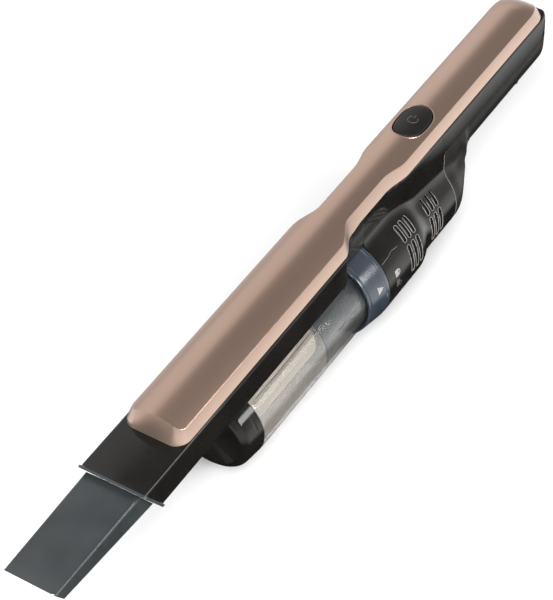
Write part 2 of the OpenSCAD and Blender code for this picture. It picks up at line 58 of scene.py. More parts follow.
# ---- the design frame: millimetres, X from the nozzle's top lip, Z from the motor axis ------
MM = 0.001
ORIGIN_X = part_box("nozzle_duct")[0].x
ORIGIN_Z = sum(v.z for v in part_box("lock_ring")) / 2
HOUSING_R, REAR_R, WALL = 33.0, 29.2, 1.8
CROWN_R, CROWN_CZ = 32.0, 34.5
FRONT_W, WAIST_W, HANDLE_W, FLARE, BEVEL, COVER_X = 17.3, 10.0, 13.6, 2.7, 4.3, 36.0
CORNER, TAIL_LEN, TAIL_W, EDGE_LEN, COVER_END = 5.5, 14.0, 11.0, 15.0, 487.5
DUCT_TOP, DUCT_BOTTOM, DUCT_END = 53.0, 30.0, 211.8
SLANT = math.tan(math.radians(35))
TOOL_REACH, RING_X, MOTOR_X, SEAM_X, PART_Z, LEDGE_Z = 76.0, 227.0, 247.4, 340.0, 40.0, 55.0
HANDLE_CZ, HANDLE_R, SHELL_END, TAIL_R, TAIL_LOW, END_Z, END_SLOPE = 32.0, 19.0, 490.0, 12.0, 17.0, 48.0, 3.5
BUTTON_X, PORT = 329.0, (122.0, 146.0, 8.0)
SEAT_GAP, SEAT_LOW, SEAT_ROOM = 0.6, 59.0, 2.0
WAIST_FROM, WAIST_RUN, GRIP_FROM, GRIP_RUN, RISE_FROM, RISE_RUN = 212.0, 20.0, 273.0, 23.0, 232.0, 12.0
BIN_X, BIN_R, BIN_REAR_R, CAP_X, PIN_Z = 109.0, 27.8, 28.4, 92.0, -25.9
SLEEVE_R, SLEEVE_X0, SLEEVE_X1 = 16.0, 114.0, 186.0


def world(points):
    a = np.asarray(points, float) * MM
    a[..., 0] += ORIGIN_X
    a[..., 2] += ORIGIN_Z
    return a


def smooth(t):
    t = np.clip(t, 0, 1)
    return t * t * (3 - 2 * t)


def crease_w(x):
    x = np.asarray(x, float)
    narrowing = (FRONT_W - WAIST_W) * smooth((x - WAIST_FROM) / WAIST_RUN)
    return FRONT_W - narrowing + (HANDLE_W - WAIST_W) * smooth((x - GRIP_FROM) / GRIP_RUN)


def edge_z(x):
    return DUCT_TOP + 0.15 + (LEDGE_Z - DUCT_TOP) * smooth((np.asarray(x, float) - RISE_FROM) / RISE_RUN)


def neck_w(x):
    return crease_w(x) + FLARE - 0.3 + 2.4 * smooth((np.asarray(x, float) - 295) / 45)


# ---- mesh helpers ---------------------------------------------------------------------------
def make(name, verts, faces, weld=1e-6):
    mesh = bpy.data.meshes.new(name)
    mesh.from_pydata(world(verts).tolist(), [], [list(f) for f in faces])
    ob = bpy.data.objects.new(name, mesh)
    bpy.context.scene.collection.objects.link(ob)
    bm = bmesh.new()
    bm.from_mesh(mesh)
    bmesh.ops.remove_doubles(bm, verts=bm.verts, dist=weld)
    bmesh.ops.recalc_face_normals(bm, faces=bm.faces)
    bm.to_mesh(mesh)
    bm.free()
    return ob


def loft(name, rows, closed=True, caps=(True, True), loop=False):
    """Skin over rows of points; closed joins each row's ends, loop joins the last row to the first."""
    rows = np.asarray(rows, float)
    n, m = rows.shape[:2]
    idx = np.arange(n * m).reshape(n, m)
    faces = []
    for i in range(n if loop else n - 1):
        a, b = idx[i], idx[(i + 1) % n]
        for j in range(m if closed else m - 1):
            k = (j + 1) % m
            faces.append((a[j], a[k], b[k], b[j]))
    if closed and not loop:
        if caps[0]:
            faces.append(tuple(idx[0][::-1]))
        if caps[1]:
            faces.append(tuple(idx[-1]))
    return make(name, rows.reshape(-1, 3), faces)


def fillet(points, radius, steps=5, closed=True):
    """Rounds the corners of a 2D outline; radius is a number or one per corner."""
    pts = [np.array(p, float) for p in points]
    n = len(pts)
    radii = radius if hasattr(radius, "__len__") else [radius] * n
    out = []
    for i, p in enumerate(pts):
        if radii[i] <= 0 or (not closed and i in (0, n - 1)):
            out.append(p)
            continue
        a, b = pts[i - 1] - p, pts[(i + 1) % n] - p
        la, lb = np.linalg.norm(a), np.linalg.norm(b)
        a, b = a / la, b / lb
        half = math.acos(max(-1, min(1, float(a @ b)))) / 2
        d = min(radii[i] / math.tan(half), 0.48 * la, 0.48 * lb)
        r = d * math.tan(half)
        mid = (a + b) / np.linalg.norm(a + b)
        centre = p + mid * (r / math.sin(half))
        s, e = p + a * d - centre, p + b * d - centre
        a0 = math.atan2(s[1], s[0])
        da = (math.atan2(e[1], e[0]) - a0 + math.pi) % (2 * math.pi) - math.pi
        out += [centre + r * np.array([math.cos(a0 + da * t / steps), math.sin(a0 + da * t / steps)])
                for t in range(steps + 1)]
    return np.array(out)


def turned(name, profile, n=144, a0=0.0, a1=360.0):
    """A closed profile of (x, radius) turned about the motor axis; angles from the top, positive to -Y."""
    full = abs(a1 - a0) >= 360
    angles = np.radians(np.linspace(a0, a1, n, endpoint=not full))
    p = np.asarray(profile, float)
    rows = [np.stack([p[:, 0], -p[:, 1] * math.sin(a), p[:, 1] * math.cos(a)], 1) for a in angles]
    return loft(name, rows, loop=full)


def tube(name, path, radius, sides=8, closed=False):
    """A round bar along a path of design points."""
    p = np.asarray(path, float)
    n = len(p)
    if closed:
        tan = np.roll(p, -1, 0) - np.roll(p, 1, 0)
    else:
        tan = np.gradient(p, axis=0)
    tan /= np.linalg.norm(tan, axis=1)[:, None]
    up = np.array([0.0, 0.31, 0.95])
    rows = []
    for i in range(n):
        side = np.cross(tan[i], up)
        if np.linalg.norm(side) < 1e-3:
            side = np.cross(tan[i], (1, 0, 0))
        side /= np.linalg.norm(side)
        top = np.cross(side, tan[i])
        ang = np.arange(sides) * 2 * math.pi / sides
        rows.append(p[i] + radius * (np.cos(ang)[:, None] * side + np.sin(ang)[:, None] * top))
    return loft(name, rows, loop=closed)


def prism(name, outline, z0, z1):
    """A plan outline of (x, y), from z0 up to z1."""
    o = np.asarray(outline, float)
    return loft(name, [np.column_stack([o, np.full(len(o), z)]) for z in (z0, z1)])


def along(name, outline, x0, x1):
    """An outline of (y, z), from x0 to x1."""
    o = np.asarray(outline, float)
    return loft(name, [np.column_stack([np.full(len(o), x), o]) for x in (x0, x1)])


def slanted(name, outline, s0, s1):
    """An outline of (y, z) between two planes that lean with the mouth."""
    o = np.asarray(outline, float)
    return loft(name, [np.column_stack([s + (DUCT_TOP - o[:, 1]) * SLANT, o]) for s in (s0, s1)])


def across(name, x, z, y0, y1, r, n=40):
    """A round bar parallel to Y."""
    a = np.arange(n) * 2 * math.pi / n
    ring = np.column_stack([x + r * np.cos(a), z + r * np.sin(a)])
    return loft(name, [np.column_stack([ring[:, 0], np.full(n, y), ring[:, 1]]) for y in (y0, y1)])


def box(w, h, cy=0.0, cz=0.0, r=0.0, steps=5):
    pts = [(cy - w / 2, cz - h / 2), (cy + w / 2, cz - h / 2), (cy + w / 2, cz + h / 2),
           (cy - w / 2, cz + h / 2)]
    return fillet(pts, r, steps) if r else np.array(pts, float)


def circle(cy, cz, r, n=48):
    a = np.arange(n) * 2 * math.pi / n
    return np.column_stack([cy + r * np.cos(a), cz + r * np.sin(a)])


def settle(ob):
    """Makes an object's modifiers permanent."""
    bpy.context.view_layer.update()
    graph = bpy.context.evaluated_depsgraph_get()
    mesh = bpy.data.meshes.new_from_object(ob.evaluated_get(graph))
    ob.modifiers.clear()
    ob.data = mesh
    return ob


def combine(ob, others, how="DIFFERENCE", tolerant=False):
    for other in others:
        mod = ob.modifiers.new("cut", "BOOLEAN")
        mod.operation = how
        mod.solver = "EXACT"
        mod.use_hole_tolerant = tolerant
        mod.object = other
        settle(ob)
    for other in others:
        bpy.data.objects.remove(other)
    return ob


def join(ob, others):
    """Adds closed meshes to an object as they are."""
    bm = bmesh.new()
    for o in [ob] + list(others):
        bm.from_mesh(o.data)
    bm.to_mesh(ob.data)
    bm.free()
    for o in others:
        bpy.data.objects.remove(o)
    return ob


def rounded(ob, width, segments=2, angle=32):
    mod = ob.modifiers.new("edge", "BEVEL")
    mod.width = width * MM
    mod.segments = segments
    mod.limit_method = "ANGLE"
    mod.angle_limit = math.radians(angle)
    mod.use_clamp_overlap = True
    return settle(ob)


def done(ob, body, slot, material, *nodes, sharp=35):
    mesh = ob.data
    for p in mesh.polygons:
        p.use_smooth = True
    mesh.set_sharp_from_angle(angle=math.radians(sharp))
    mod = ob.modifiers.new("normals", "WEIGHTED_NORMAL")
    mod.keep_sharp = True
    settle(ob)
    ob.data.materials.clear()
    ob.data.materials.append(material)
    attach(ob, body)
    if nodes:
        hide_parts(*nodes)
    return ob


# ---- materials ------------------------------------------------------------------------------
def finish(name, low, high, grain=40.0, rough=(0.3, 0.4), bump=0.0, bump_grain=900.0, stretch=(1, 1, 1),
           wear=None, specks=None, **sockets):
    """A procedural finish: cloudy colour from low to high, uneven gloss, fine surface grain, rubbed edges."""
    m = bpy.data.materials.new(name)
    m.use_nodes = True
    tree = m.node_tree
    tree.nodes.clear()
    add = tree.nodes.new
    link = tree.links.new
    out, bsdf = add("ShaderNodeOutputMaterial"), add("ShaderNodeBsdfPrincipled")
    link(bsdf.outputs[0], out.inputs[0])
    coord, mapping = add("ShaderNodeTexCoord"), add("ShaderNodeMapping")
    mapping.inputs["Scale"].default_value = stretch
    link(coord.outputs["Object"], mapping.inputs["Vector"])

    def noise(scale, detail=4.0):
        n = add("ShaderNodeTexNoise")
        n.inputs["Scale"].default_value = scale
        n.inputs["Detail"].default_value = detail
        link(mapping.outputs[0], n.inputs["Vector"])
        return n.outputs["Fac"]

    ramp = add("ShaderNodeValToRGB")
    ramp.color_ramp.elements[0].position, ramp.color_ramp.elements[1].position = 0.32, 0.68
    ramp.color_ramp.elements[0].color = (*low, 1)
    ramp.color_ramp.elements[1].color = (*high, 1)
    link(noise(grain), ramp.inputs[0])
    colour = ramp.outputs[0]
    if wear:
        geo, rng, mix = add("ShaderNodeNewGeometry"), add("ShaderNodeMapRange"), add("ShaderNodeMixRGB")
        rng.inputs["From Min"].default_value, rng.inputs["From Max"].default_value = 0.52, 0.62
        rng.inputs["To Max"].default_value = 0.6
        link(geo.outputs["Pointiness"], rng.inputs["Value"])
        link(rng.outputs[0], mix.inputs[0])
        link(colour, mix.inputs[1])
        mix.inputs[2].default_value = (*wear, 1)
        colour = mix.outputs[0]
    if specks:
        cell, rng, mix = add("ShaderNodeTexVoronoi"), add("ShaderNodeMapRange"), add("ShaderNodeMixRGB")
        cell.inputs["Scale"].default_value = specks[0]
        link(mapping.outputs[0], cell.inputs["Vector"])
        rng.inputs["From Min"].default_value, rng.inputs["From Max"].default_value = 0.1, 0.45
        rng.inputs["To Min"].default_value, rng.inputs["To Max"].default_value = 1.0, 0.0
        link(cell.outputs["Distance"], rng.inputs["Value"])
        link(rng.outputs[0], mix.inputs[0])
        link(colour, mix.inputs[1])
        mix.inputs[2].default_value = (*specks[1], 1)
        colour = mix.outputs[0]
    link(colour, bsdf.inputs["Base Color"])
    gloss = add("ShaderNodeMapRange")
    gloss.inputs["From Min"].default_value, gloss.inputs["From Max"].default_value = 0.3, 0.7
    gloss.inputs["To Min"].default_value, gloss.inputs["To Max"].default_value = rough
    link(noise(grain * 2.7, 6.0), gloss.inputs["Value"])
    link(gloss.outputs[0], bsdf.inputs["Roughness"])
    if bump:
        b = add("ShaderNodeBump")
        b.inputs["Strength"].default_value = bump
        b.inputs["Distance"].default_value = 0.0002
        link(noise(bump_grain, 3.0), b.inputs["Height"])
        link(b.outputs[0], bsdf.inputs["Normal"])
    for key, value in sockets.items():
        bsdf.inputs[key.replace("_", " ")].default_value = value
    return m


PALETTE = {
    "gold_cover": finish("gold_satin", (0.35, 0.240, 0.187), (0.385, 0.267, 0.210), 14, (0.27, 0.33), 0.10,
                         2600,
                         (0.25, 1, 1), wear=(0.58, 0.44, 0.36), Metallic=0.85, Coat_Weight=0.15,
                         Coat_Roughness=0.25),
    "gloss_black": finish("black_gloss", (0.006, 0.0055, 0.005), (0.010, 0.009, 0.008), 30, (0.07, 0.13),
                          0.02, 1500,
                          wear=(0.03, 0.028, 0.026), Specular_IOR_Level=0.26),
    "matte_black": finish("black_satin", (0.009, 0.0083, 0.0075), (0.013, 0.0119, 0.0107), 55, (0.34, 0.44),
                          0.16, 3200,
                          wear=(0.035, 0.033, 0.030), Specular_IOR_Level=0.16),
    "tool_grey": finish("tool_grey", (0.022, 0.026, 0.028), (0.032, 0.037, 0.039), 45, (0.32, 0.42), 0.22,
                        2800,
                        wear=(0.08, 0.085, 0.088), Specular_IOR_Level=0.45),
    "clear_bin": finish("smoky_clear", (0.42, 0.39, 0.36), (0.48, 0.45, 0.42), 20, (0.015, 0.05), 0.01, 400,
                        Transmission_Weight=1.0, IOR=1.46, Alpha=0.6),
    "ring_blue": finish("ring_blue", (0.024, 0.032, 0.045), (0.036, 0.047, 0.064), 35, (0.16, 0.24), 0.04,
                        1800,
                        wear=(0.20, 0.24, 0.30), Coat_Weight=0.5, Coat_Roughness=0.08,
                        Transmission_Weight=0.15),
    "filter_cream": finish("filter_cream", (0.86, 0.82, 0.72), (0.93, 0.90, 0.82), 90, (0.55, 0.75), 0.4,
                           2400,
                           specks=(900, (0.74, 0.69, 0.58))),
    "filter_paper": finish("filter_paper", (0.80, 0.76, 0.66), (0.88, 0.85, 0.77), 70, (0.75, 0.9), 0.3,
                           3000),
    "frame_blue": finish("frame_blue", (0.085, 0.105, 0.125), (0.12, 0.145, 0.17), 50, (0.3, 0.42), 0.1, 2000,
                         wear=(0.25, 0.29, 0.33)),
    "seal_rubber": finish("seal_rubber", (0.012, 0.012, 0.013), (0.022, 0.022, 0.023), 80, (0.6, 0.75), 0.2,
                          3500),
    "steel": finish("steel_wire", (0.50, 0.51, 0.52), (0.62, 0.63, 0.64), 120, (0.2, 0.34), 0.08, 4000,
                    (0.3, 1, 1), Metallic=1.0),
    "magnet": finish("magnet", (0.05, 0.05, 0.052), (0.09, 0.09, 0.092), 140, (0.45, 0.6), 0.3, 2500,
                     Metallic=0.4),
    "inner_plastic": finish("inner_plastic", (0.045, 0.048, 0.052), (0.07, 0.074, 0.08), 60, (0.42, 0.55),
                            0.2, 2600,
                            wear=(0.13, 0.135, 0.14)),
    "foam": finish("foam", (0.030, 0.030, 0.031), (0.065, 0.065, 0.066), 500, (0.85, 0.95), 0.9, 1500,
                   specks=(1200, (0.006, 0.006, 0.006))),
    "cell_wrap": finish("cell_wrap", (0.03, 0.12, 0.30), (0.045, 0.16, 0.37), 30, (0.18, 0.28), 0.05, 1500),
    "holder_plastic": finish("holder_plastic", (0.62, 0.59, 0.52), (0.70, 0.67, 0.60), 50, (0.4, 0.55),
                             0.15, 2600),
    "nickel": finish("nickel", (0.60, 0.59, 0.56), (0.70, 0.69, 0.66), 200, (0.2, 0.35), 0.1, 4000,
                     Metallic=1.0),
    "board_green": finish("board_green", (0.01, 0.11, 0.045), (0.018, 0.15, 0.065), 160, (0.25, 0.4), 0.1,
                          3000,
                          specks=(260, (0.30, 0.32, 0.20))),
    "copper": finish("copper", (0.55, 0.25, 0.12), (0.70, 0.34, 0.18), 300, (0.25, 0.4), 0.5, 900,
                     (1, 0.2, 0.2),
                     Metallic=1.0),
    "light_lens": finish("light_lens", (0.72, 0.86, 0.78), (0.82, 0.92, 0.86), 60, (0.2, 0.3), 0.05, 2000,
                         Transmission_Weight=0.4),
    "bearing_steel": finish("bearing_steel", (0.62, 0.63, 0.64), (0.74, 0.75, 0.76), 220, (0.12, 0.2), 0.03,
                            4000,
                            Metallic=1.0),
}
# light grey for thin raised lines on the black body: a painted highlight along the slot edges, the seam and
# the panel line
EDGE_HIGHLIGHT_PAINT = finish("painted_edge_highlight", (0.17, 0.16, 0.15), (0.26, 0.245, 0.23), 120, (0.2, 0.3), 0.05, 3000)
INK = finish("mark_ink", (0.24, 0.24, 0.235), (0.32, 0.32, 0.31), 160, (0.45, 0.55), 0.1, 3000)
DIM_INK = finish("mark_ink_dim", (0.045, 0.044, 0.043), (0.06, 0.059, 0.058), 160, (0.4, 0.5), 0.1, 3000)

for part in frame["record"]["subparts"]:
    node = frame["nodes"][part["node"]]
    node.data.materials.clear()
    node.data.materials.append(PALETTE[part["material_slot"]])
    for p in node.data.polygons:
        p.use_smooth = True
    node.data.set_sharp_from_angle(angle=math.radians(30))


# ---- top cover ------------------------------------------------------------------------------
def bend(prev, cur, nxt, d=0.45):
    """Four points that round a crease from prev over cur to nxt."""
    prev, cur, nxt = (np.asarray(v, float) for v in (prev, cur, nxt))
    def towards(a):
        length = np.linalg.norm(a - cur, axis=-1, keepdims=True)
        return cur + (a - cur) * np.minimum(d / np.maximum(length, 1e-9), 0.45)
    a, b = towards(prev), towards(nxt)
    return [a] + [(1 - t) ** 2 * a + 2 * t * (1 - t) * cur + t * t * b for t in (0.33, 0.67)] + [b]


def crown(y, r=CROWN_R):
    return CROWN_CZ + np.sqrt(r * r - y * y)


NOSE_X, NOSE_LEN, NOSE_BEVEL = 460.0, 26.0, 2.5


def cover_row(xc, yc, xl, yl, cols=56):
    ys = np.linspace(-yc, yc, cols + 1)
    fall = math.sqrt(1 - (max(xc - NOSE_X, 0) / NOSE_LEN) ** 2)
    top = np.column_stack([np.full(cols + 1, xc), ys, edge_z(xl) + (crown(ys) - edge_z(xl)) * fall])
    left, right = np.array([xl, -yl, edge_z(xl)]), np.array([xl, yl, edge_z(xl)])
    return np.array([left] + bend(left, top[0], top[1]) + list(top[1:-1]) + bend(top[-2], top[-1],
            right) + [right])


def cover_rows():
    rows = []
    for p in np.radians(np.arange(0, 91, 7.5)):
        q = max(p, math.radians(5))
        rows.append(cover_row(COVER_X + BEVEL + CORNER * (1 - math.cos(p)),
                              FRONT_W - CORNER * (1 - math.sin(p)),
                              COVER_X + (CORNER + BEVEL) * (1 - math.cos(q)),
                              FRONT_W + FLARE - (CORNER + FLARE) * (1 - math.sin(q))))
    for x in np.concatenate([np.arange(52, 208, 6), np.arange(208, 300, 1.5), np.arange(300, 452, 3),
                             [455.0]]):
        rows.append(cover_row(x, float(crease_w(x)), x, float(crease_w(x)) + FLARE))
    for p in np.radians(np.arange(90, -1, -6)):
        q = max(p, math.radians(5))
        rows.append(cover_row(COVER_END - NOSE_BEVEL - (TAIL_LEN + 8) * (1 - math.cos(p)),
                              HANDLE_W - TAIL_W * (1 - math.sin(p)),
                              COVER_END - EDGE_LEN * (1 - math.cos(q)),
                              HANDLE_W + FLARE - (TAIL_W + FLARE) * (1 - math.sin(q))))
    def end(x, half, like):
        ys = like[:, 1] / np.abs(like[:, 1]).max() * half
        return np.column_stack([np.full(len(ys), x), ys, np.full(len(ys), edge_z(x))])
    first, last = end(COVER_X, FRONT_W - CORNER, rows[0]), end(COVER_END, HANDLE_W - TAIL_W, rows[-1])
    return [first] + bend(first, rows[0], rows[1]) + rows[1:-1] + bend(rows[-2], rows[-1], last) + [last]


def pebble(a, b, power=2.5, n=96):
    t = np.arange(n) * 2 * math.pi / n
    c, s = np.cos(t), np.sin(t)
    return np.column_stack([BUTTON_X + a * np.sign(c) * np.abs(c) ** (2 / power),
                            b * np.sign(s) * np.abs(s) ** (2 / power)])


cover = loft("top_cover_skin", cover_rows(), closed=False)
mod = cover.modifiers.new("thick", "SOLIDIFY")
mod.thickness, mod.offset = 1.6 * MM, -1
settle(cover)
hole = pebble(16.4, 10.4)
combine(cover, [prism("hole", hole, 60, 80)])
done(cover, "housing", "gold_cover", PALETTE["gold_cover"], "top_cover", sharp=50)
lip = pebble(16.7, 10.7)
done(tube("button_lip", np.column_stack([lip, crown(lip[:, 1]) - 0.12]), 0.42, 8, closed=True),
     "housing", "gold_cover", PALETTE["gold_cover"])

# ---- power button ---------------------------------------------------------------------------
def button_ring(share, drop, a=16.0, b=10.0):
    o = pebble(a * share, b * share)
    return np.column_stack([o, crown(o[:, 1], CROWN_R + 0.8) - drop])


steps = [(0.02, 0), (0.2, 0), (0.4, 0.01), (0.6, 0.03), (0.72, 0.07), (0.79, 0.12), (0.815, 0.26),
         (0.84, 0.28),
         (0.86, 0.2), (0.90, 0.3), (0.94, 0.55), (0.97, 0.95), (0.99, 1.5), (1.0, 2.2)]
rows = [button_ring(s, d) for s, d in steps[::-1]]
skirt = pebble(16.0, 10.0)
flange = pebble(17.0, 11.0)
rows = [np.column_stack([flange, np.full(96, 60.0)]), np.column_stack([flange, np.full(96, 61.0)]),
        np.column_stack([skirt, np.full(96, 61.1)])] + rows
button = loft("button_cap", rows)
# room for the spring, which is drawn rigid and full length in every pose; the CAD button has no such seat
low, high = (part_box("button_spring")[k] / MM for k in (0, 1))
combine(button, [prism("spring_seat", circle((low.x + high.x) / 2 - ORIGIN_X / MM, (low.y + high.y) / 2,
                                             (high.y - low.y) / 2 + SEAT_GAP),
                       SEAT_LOW, high.z - ORIGIN_Z / MM + SEAT_ROOM)])
done(button, "button", "gloss_black", PALETTE["matte_black"], "power_button", sharp=50)


def button_top(x, y, lift=0.1):
    return np.column_stack([x, y, crown(y, CROWN_R + 0.8) + lift])


t = np.radians(np.linspace(35, 325, 40))
done(tube("power_mark_ring", button_top(BUTTON_X + 3.2 * np.cos(t), 3.2 * np.sin(t), 0.0), 0.3, 6),
     "button", "gloss_black", DIM_INK)
done(tube("power_mark_bar", button_top(np.linspace(BUTTON_X + 1.2, BUTTON_X + 4.6, 6), np.zeros(6), 0.0),
          0.3, 6),
     "button", "gloss_black", DIM_INK)

# ---- nozzle and duct ------------------------------------------------------------------------
edge_y = math.sqrt((HOUSING_R + 0.3) ** 2 - DUCT_BOTTOM ** 2)
arc = np.radians(np.linspace(math.degrees(math.atan2(edge_y, DUCT_BOTTOM)), 0, 14))
groove = [((HOUSING_R + 0.3) * math.sin(a), (HOUSING_R + 0.3) * math.cos(a)) for a in arc]
groove += [(-y, z) for y, z in groove[-2::-1]]
outline = groove + [(-21, DUCT_BOTTOM), (-21, DUCT_TOP), (21, DUCT_TOP), (21, DUCT_BOTTOM)]
outline = fillet(outline, [0] * len(groove) + [2, 1.6, 1.6, 2], 6)
rows = [np.column_stack([s + (DUCT_TOP - outline[:, 1]) * SLANT, outline]) for s in (0.0, 4.0, 12.0)]
rows += [np.column_stack([np.full(len(outline), x), outline]) for x in (40, 80, 120, 160, 200, DUCT_END)]
nozzle = loft("nozzle_shell", rows)
combine(nozzle, [
    along("channel", box(38, 15.5, 0, 43.25, 1.2), -1, 148),
    along("rear_channel", box(38, 15.5, 0, 43.25, 1.2), 150, 213),
    prism("port", [(PORT[0], -PORT[2]), (PORT[1], -PORT[2]), (PORT[1], PORT[2]), (PORT[0], PORT[2])], 25,
          36.5)])
rounded(nozzle, 0.35)
done(nozzle, "housing", "gloss_black", PALETTE["gloss_black"], "nozzle_duct")

# ---- crevice tool ---------------------------------------------------------------------------
def taper(name, inset, s0=0.0, s1=1.0):
    rows = []
    for s in np.linspace(s0, s1, 9):
        w, h = 33 + 2.8 * s - 2 * inset, 10.6 + 9.6 * s - 2 * inset
        o = box(w, h, 0, 43 - 2 * s, max(1.2 + 1.2 * s - inset * 0.4, 0.5))
        low = (DUCT_TOP - 4.7 * (1 - s) - o[:, 1]) * SLANT
        rows.append(np.column_stack([-TOOL_REACH + (TOOL_REACH + 14) * s + low, o]))
    return loft(name, rows)


tool = taper("tool_body", 0, 0, 0.82)
plug = slanted("plug", box(37.5, 15.0, 0, 43.25, 1.5), -1.0, 12.0)
rim = slanted("flange", fillet([(-22, 29.7), (22, 29.7), (22, 54), (-22, 54)], [1, 1, 2.6, 2.6], 5), -2.15,
              -0.15)
combine(tool, [rim, plug], "UNION")
combine(tool,
        [taper("hollow", 1.6, -0.1, 1.3), slanted("plug_hollow", box(34.3, 11.8, 0, 43.25, 1.0), -1.5, 13.0),
               prism("notch", circle(-75.6, -14.2, 1.3, 24), 44, 50)])
rounded(tool, 0.3)
done(tool, "tool", "tool_grey", PALETTE["tool_grey"], "crevice_tool")

# ---- bin ------------------------------------------------------------------------------------
wall = [(BIN_X, BIN_R - 0.1), (BIN_X + 3, BIN_R), (RING_X, BIN_REAR_R), (244.2, BIN_REAR_R), (244.2, 30),
        (246.8, 30),
        (246.8, 26.6), (RING_X, 26.6), (BIN_X, 26.0)]
bin_glass = turned("bin_clear", fillet(wall, [0.4, 0, 0, 0.1, 0.4, 0.4, 0.3, 0, 0.4], 3), 180)
combine(bin_glass, [
    prism("port", box(24, 16, 134, 0, 1.5), 15, 40),
    loft("hinge_gap", [np.column_stack([np.full(4, x), [-10.6, 10.6, 10.6, -10.6], [-30, -30, -23.6, -23.6]])
                       for x in (107.0, 111.6)])])
done(bin_glass, "bin", "clear_bin", PALETTE["clear_bin"], "bin_shell", sharp=40)
# the raised frame of the inlet, on the bin's top
frame_in, frame_out = box(24, 16, 134, 0, 1.5), box(28.8, 20.8, 134, 0, 2.4)
collar = prism("bin_inlet_frame", frame_out, 24.5, 40)
combine(collar, [turned("above", [(110, 32.2), (110, 50), (160, 50), (160, 32.2)], 96)])
combine(collar,
        [turned("below", [(110, 0.01), (110, 26.0), (160, 26.2), (160, 0.01)], 96),
         prism("way", frame_in, 10, 45)])
rounded(collar, 0.3)
done(collar, "bin", "clear_bin", PALETTE["gloss_black"])
knuckles = []
for s in (-1, 1):
    knob = across("knuckle", BIN_X, PIN_Z, s * 8.1 - 2, s * 8.1 + 2, 1.9)
    combine(knob, [across("pin_hole", BIN_X, PIN_Z, -12, 12, 1.02)])
    leaf = loft("leaf", [np.column_stack([np.full(4, x), [s * 8.1 - 2, s * 8.1 + 2, s * 8.1 + 2, s * 8.1 - 2],
                                          [-27.4, -27.4, -24.8, -24.8]]) for x in (BIN_X + 1.6, 113.4)])
    knuckles += [knob, leaf]
hinge = join(knuckles[0], knuckles[1:])
hinge.name = "bin_hinge"
rounded(hinge, 0.25)
done(hinge, "bin", "clear_bin", PALETTE["frame_blue"])

# ---- bin cap --------------------------------------------------------------------------------
RIM_X = BIN_X - 0.2
shape = [(CAP_X, 0.02), (CAP_X, BIN_R - 6), (CAP_X + 3.5, BIN_R - 1.5), (RIM_X, BIN_R - 0.1),
         (RIM_X, BIN_R - 2.3),
         (CAP_X + 4, BIN_R - 3.8), (CAP_X + 2, BIN_R - 6.4), (CAP_X + 2, 0.02)]
cap = turned("bin_cap_shell", fillet(shape, [0, 3.2, 2.6, 0.4, 0.4, 1.5, 1.5, 0], 6), 144)
gaps = [loft("gap",
             [np.column_stack([np.full(4, x), [s * 8.1 - 2.3, s * 8.1 + 2.3, s * 8.1 + 2.3, s * 8.1 - 2.3],
                                      [-30, -30, -23.6, -23.6]]) for x in (106.0, 116.0)]) for s in (-1, 1)]
combine(cap, gaps)


def lens_cutter(angle, x, long, wide, depth):
    """A shallow almond-shaped dish in the cap's side."""
    rows = []
    for u in np.linspace(-1, 1, 25):
        half = wide * math.sqrt(max(1 - u * u, 0.0)) + 0.02
        a = math.radians(angle) + u * long / BIN_R
        sec = [(x + half * math.cos(v), BIN_R - 0.2 + depth * (2 * half / wide * 0.5) * math.sin(v))
               for v in np.linspace(0, 2 * math.pi, 20, endpoint=False)]
        rows.append([(p, -r * math.sin(a), r * math.cos(a)) for p, r in sec])
    return loft("dish", rows)


combine(cap, [lens_cutter(62, 103.5, 6.5, 1.5, 0.9)])
knob = across("cap_knuckle", BIN_X, PIN_Z, -5.8, 5.8, 1.9)
combine(knob, [across("pin_hole", BIN_X, PIN_Z, -12, 12, 1.06)])
leaf = loft("leaf", [np.column_stack([np.full(4, x), [-5.8, 5.8, 5.8, -5.8], [-27.4, -27.4, -24.4, -24.4]])
                     for x in (BIN_X - 3.2, BIN_X)])
hook = along("hook", box(8, 1.4, 0, BIN_R - 3.1, 0.4), RIM_X - 9, RIM_X + 3)
combine(leaf, [across("pin_hole", BIN_X, PIN_Z, -12, 12, 1.5)])
join(cap, [knob, leaf, hook])
done(cap, "cap", "gloss_black", PALETTE["gloss_black"], "bin_cap", sharp=38)

# ---- filter ---------------------------------------------------------------------------------
cells_x, cells_a = 60, 84
u = np.linspace(0, cells_x, cells_x * 3 + 1)
v = np.linspace(0, cells_a, cells_a * 3, endpoint=False)
rows = []
for i in u:
    dent = np.sin(math.pi * (i + v)) ** 2 * np.sin(math.pi * (i - v)) ** 2
    r = SLEEVE_R - 0.16 * dent
    a = 2 * math.pi * v / cells_a
    rows.append(np.column_stack([np.full(len(v), SLEEVE_X0 + (SLEEVE_X1 - SLEEVE_X0) * i / cells_x),
                                 r * np.sin(a), r * np.cos(a)]))
inner = [np.column_stack([np.full(len(v), x), (SLEEVE_R - 0.8) * np.sin(2 * math.pi * v / cells_a),
                          (SLEEVE_R - 0.8) * np.cos(2 * math.pi * v / cells_a)]) for x in (SLEEVE_X1,
                                  SLEEVE_X0)]
sleeve = loft("filter_sleeve", rows + inner, loop=True)
done(sleeve, "bin", "filter_cream", PALETTE["filter_cream"], "filter_mesh", sharp=60)

